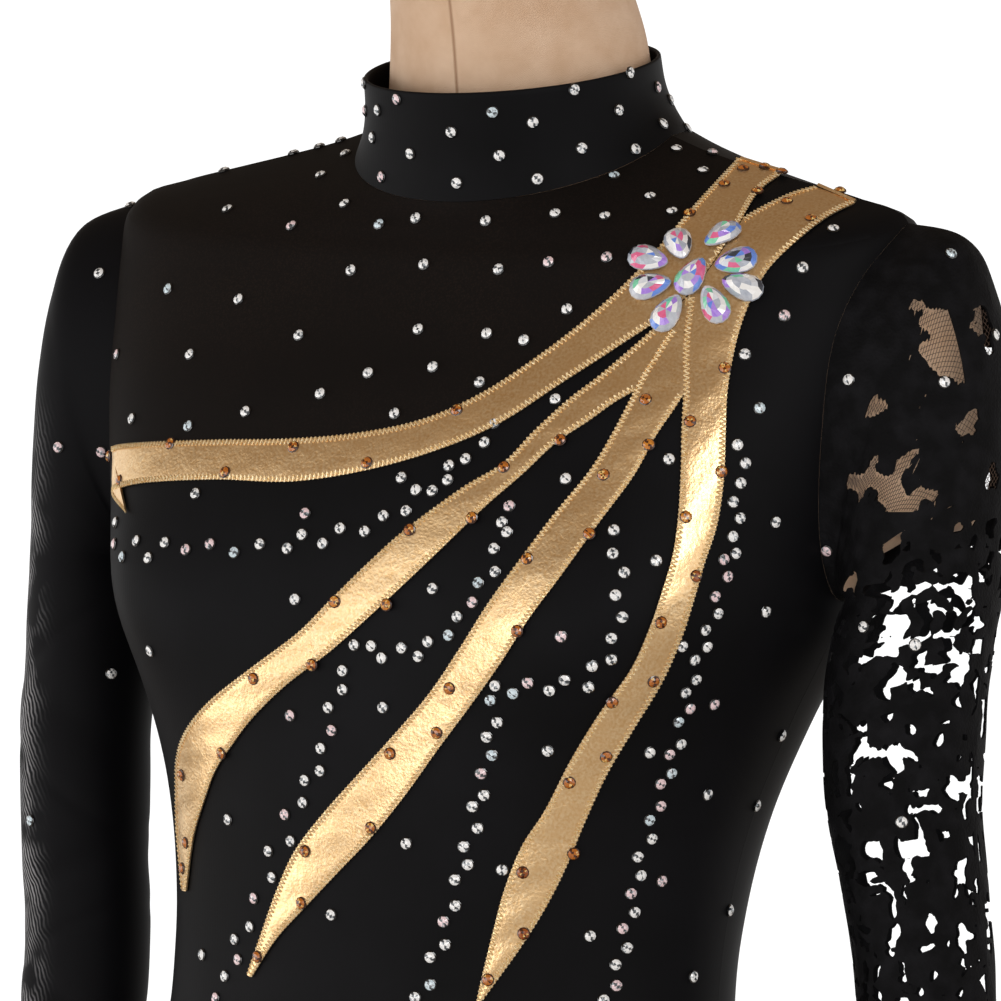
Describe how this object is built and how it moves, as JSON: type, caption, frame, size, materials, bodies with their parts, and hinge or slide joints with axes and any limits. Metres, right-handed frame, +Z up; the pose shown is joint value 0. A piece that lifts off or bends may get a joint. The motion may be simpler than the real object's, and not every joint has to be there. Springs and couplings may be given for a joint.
{
  "type": "figure skating dress on a dress form",
  "caption": "Black long-sleeved figure skating dress with gold rays, crystals and a lace sleeve, on a beige dress form and stand",
  "frame": {"origin": "on the floor under the middle of the stand's round base", "axes": "the dress faces -Y, its own left side is +X, +Z is up along the pole"},
  "size_m": [0.515, 0.34, 1.519],
  "materials": {
    "spandex": "matt stretch spandex, black",
    "sheer_mesh": "fine power mesh, black, slightly see-through",
    "lace": "black floral lace on a fine net",
    "chiffon": "black chiffon",
    "gold_foil": "foiled gold spandex with zigzag gold thread",
    "crystal": "faceted crystal with a rainbow coating",
    "linen": "beige linen over a padded shell",
    "steel": "satin steel"
  },
  "bodies": {
    "root": {"bodice_front": "spandex", "bodice_back": "spandex", "yoke_front": "sheer_mesh", "collar": "spandex", "sleeve_right_mesh": "sheer_mesh", "sleeve_left_lace_back": "lace", "sleeve_left_lace_front": "lace", "skirt_front": "chiffon", "skirt_back": "chiffon", "gold_ray_1": "gold_foil", "gold_ray_2": "gold_foil", "gold_ray_3": "gold_foil", "gold_ray_4": "gold_foil", "crystal_centre": "crystal", "crystal_petal_1": "crystal", "crystal_petal_2": "crystal", "crystal_petal_3": "crystal", "crystal_petal_4": "crystal", "crystal_petal_5": "crystal", "crystal_petal_6": "crystal", "crystal_petal_7": "crystal", "crystal_petal_8": "crystal", "form_torso": "linen", "stand_pole": "steel", "stand_base": "steel"}
  },
  "joints": []
}
